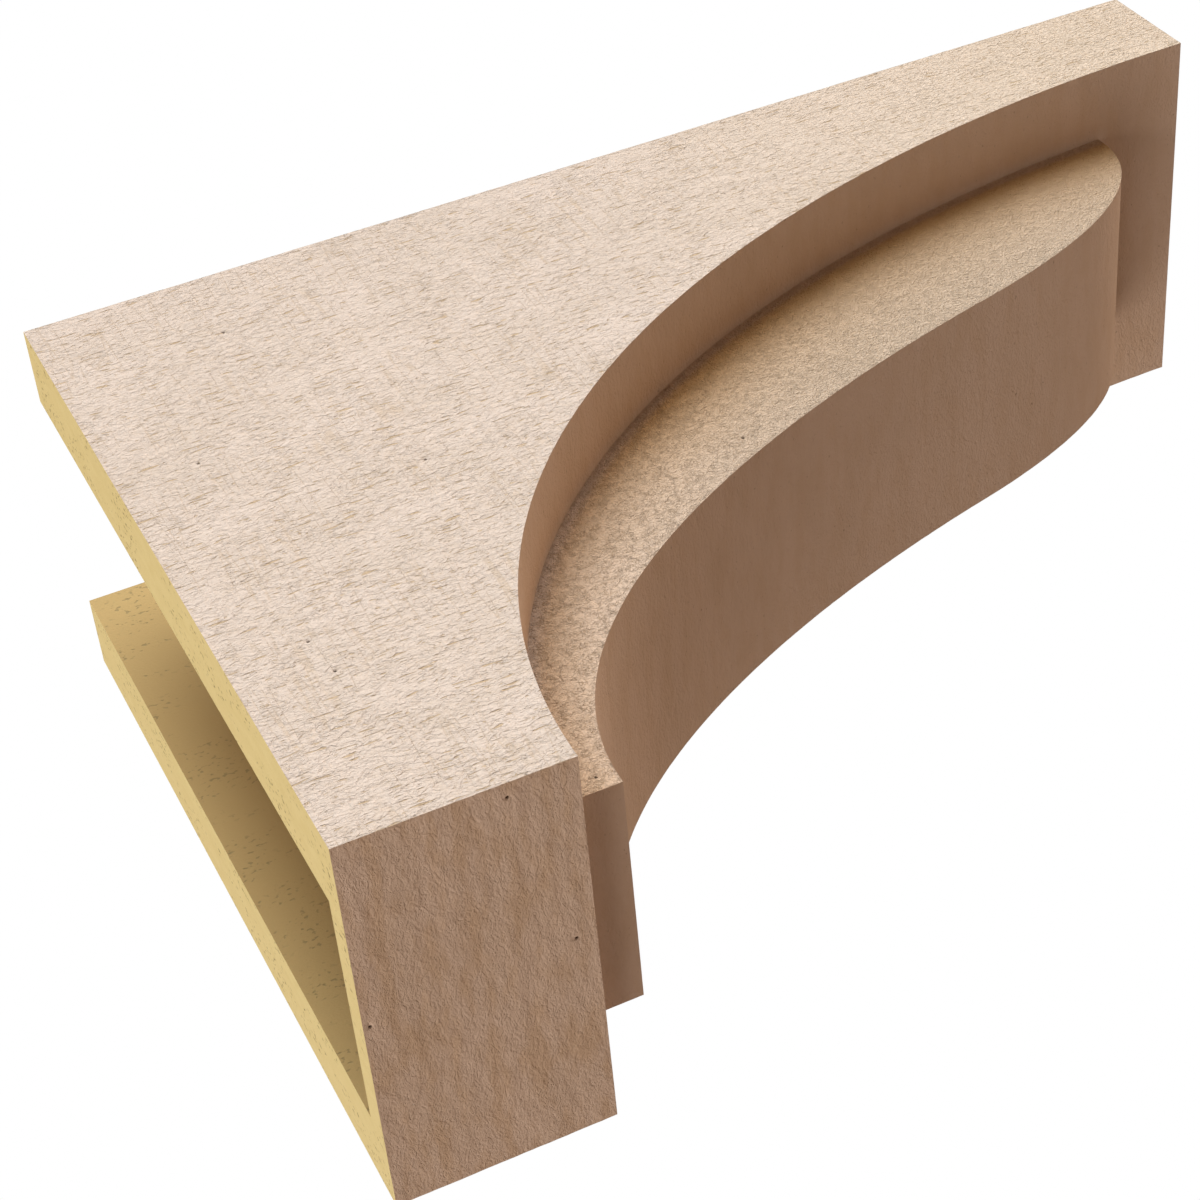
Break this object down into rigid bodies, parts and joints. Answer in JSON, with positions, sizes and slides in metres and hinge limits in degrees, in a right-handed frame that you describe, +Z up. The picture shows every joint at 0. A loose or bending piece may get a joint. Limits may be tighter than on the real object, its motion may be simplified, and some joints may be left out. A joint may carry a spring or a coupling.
{
  "type": "hollow moulded corbel",
  "caption": "Faux timber corbel: a hollow full-width body with a concave sweep and a narrower raised band with a rounded nose, open at the wall and on top.",
  "frame": {"origin": "on the wall plane, halfway across the width and halfway up the thickness of the bottom wall", "axes": "+Z up, +Y into the wall, -Y out from the wall to the front nose, X across the width"},
  "size_m": [0.1524, 0.4572, 0.3048],
  "materials": {
    "rough_sawn_skin": "moulded polyurethane foam with a rough-sawn timber texture, primed in a pale tan; bare yellow foam on the wall side, the top rim and in the hollow"
  },
  "bodies": {
    "root": {"corbel_body": "rough_sawn_skin"}
  },
  "joints": []
}
